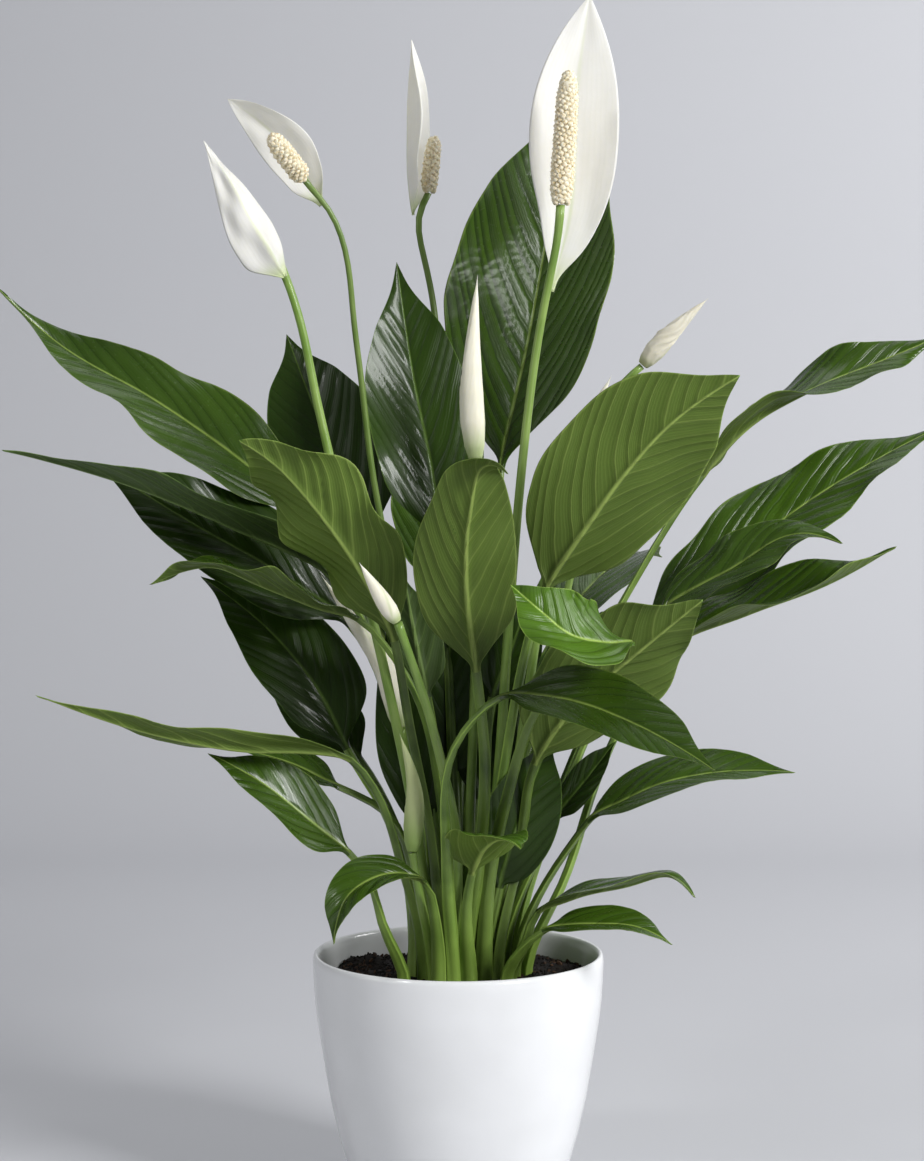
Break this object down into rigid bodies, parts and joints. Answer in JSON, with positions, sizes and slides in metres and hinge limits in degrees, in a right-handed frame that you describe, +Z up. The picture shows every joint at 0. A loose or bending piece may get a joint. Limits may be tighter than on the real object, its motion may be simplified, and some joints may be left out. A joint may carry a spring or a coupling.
{
  "type": "potted peace lily",
  "caption": "Flowering houseplant: lance-shaped glossy leaves, hooded white blooms and closed buds on upright stems, rooted in dark soil in a tapered glazed pot.",
  "frame": {"origin": "centre of the pot's flat base, where it rests", "axes": "+Z up along the pot's axis; most blooms and the undersides of the front leaves face -Y; +X is to the right seen from -Y"},
  "size_m": [0.511, 0.3153, 0.631],
  "materials": {
    "glazed_pot": "gloss",
    "potting_mix": "matte",
    "leaf_green": "satin",
    "flower_stalk": "satin",
    "spathe_white": "satin",
    "spadix_cream": "matte",
    "bud_white": "satin",
    "bud_faded": "matte",
    "bud_green": "satin"
  },
  "bodies": {
    "root": {"bloom_half_closed_spadix": "spadix_cream", "bloom_half_closed_spathe": "spathe_white", "bloom_half_closed_stem": "flower_stalk", "bloom_side_on_spadix": "spadix_cream", "bloom_side_on_spathe": "spathe_white", "bloom_side_on_stem": "flower_stalk", "bloom_tall_spadix": "spadix_cream", "bloom_tall_spathe": "spathe_white", "bloom_tall_stem": "flower_stalk", "bloom_tilted_spadix": "spadix_cream", "bloom_tilted_spathe": "spathe_white", "bloom_tilted_stem": "flower_stalk", "bud_aged_right": "bud_faded", "bud_aged_right_stem": "flower_stalk", "bud_green_low": "bud_green", "bud_green_low_stem": "flower_stalk", "bud_long_left": "bud_green", "bud_long_left_stem": "flower_stalk", "bud_small_left": "bud_green", "bud_small_left_stem": "flower_stalk", "bud_small_right": "bud_white", "bud_small_right_stem": "flower_stalk", "bud_white_centre": "bud_white", "bud_white_centre_stem": "flower_stalk", "leaf_arching_right": "leaf_green", "leaf_back_centre": "leaf_green", "leaf_back_left": "leaf_green", "leaf_dark_left": "leaf_green", "leaf_dark_left_rear": "leaf_green", "leaf_drooping_left": "leaf_green", "leaf_front_centre": "leaf_green", "leaf_front_left": "leaf_green", "leaf_front_right": "leaf_green", "leaf_front_right_low": "leaf_green", "leaf_inner_centre": "leaf_green", "leaf_inner_left": "leaf_green", "leaf_inner_left_low": "leaf_green", "leaf_inner_right_low": "leaf_green", "leaf_long_left": "leaf_green", "leaf_lower_left": "leaf_green", "leaf_lower_right": "leaf_green", "leaf_lower_right_edge": "leaf_green", "leaf_mid_left_level": "leaf_green", "leaf_mid_left_rear": "leaf_green", "leaf_rear_centre": "leaf_green", "leaf_rear_left": "leaf_green", "leaf_rear_low": "leaf_green", "leaf_rear_right": "leaf_green", "leaf_right": "leaf_green", "leaf_right_big": "leaf_green", "leaf_right_curled": "leaf_green", "leaf_rim_right": "leaf_green", "leaf_short_left": "leaf_green", "leaf_small_front": "leaf_green", "leaf_upper_left": "leaf_green", "leaf_upper_right": "leaf_green", "leaf_wavy_left": "leaf_green", "leaf_young_folded": "leaf_green", "pot": "glazed_pot", "potting_soil": "potting_mix"}
  },
  "joints": []
}
